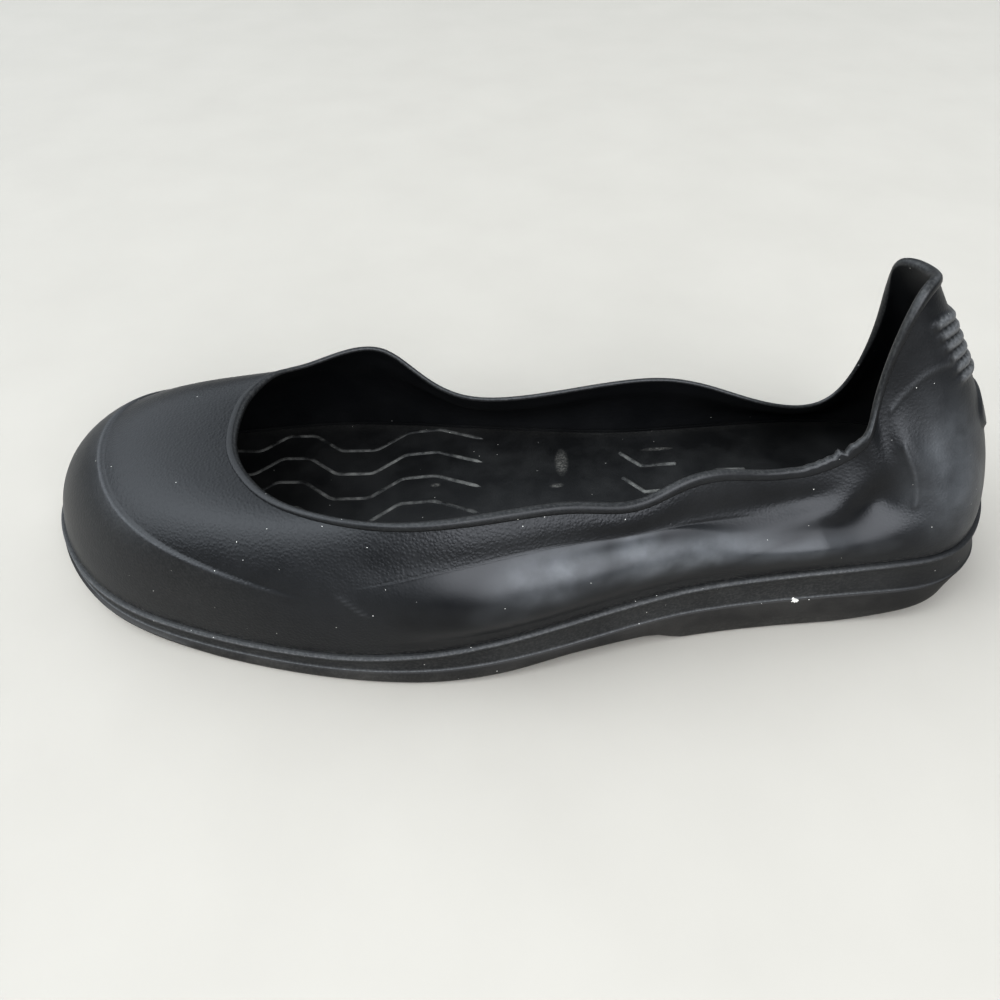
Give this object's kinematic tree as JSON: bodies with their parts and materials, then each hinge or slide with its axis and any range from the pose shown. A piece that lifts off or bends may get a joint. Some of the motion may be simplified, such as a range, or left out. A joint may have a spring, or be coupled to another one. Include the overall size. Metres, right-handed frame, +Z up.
{
  "type": "overshoe",
  "caption": "Low moulded rubber slip-on overshoe for the left foot, with an open collar, a ribbed heel tab and a stepped sole; worn over a shoe.",
  "frame": {"origin": "on the floor under the middle of the shoe's box", "axes": "-X to the toe, -Y to the outer side of the foot, +Z up from the floor"},
  "size_m": [0.2993, 0.114, 0.0999],
  "materials": {
    "outsole_rubber": "dull dusty black moulded rubber",
    "midsole_rubber": "satin black moulded rubber",
    "insole_rubber": "matt black rubber footbed",
    "upper_rubber": "grained black rubber with smooth glossier side panels"
  },
  "bodies": {
    "root": {"outsole": "outsole_rubber", "midsole": "midsole_rubber", "insole": "insole_rubber", "upper": "upper_rubber"}
  },
  "joints": []
}
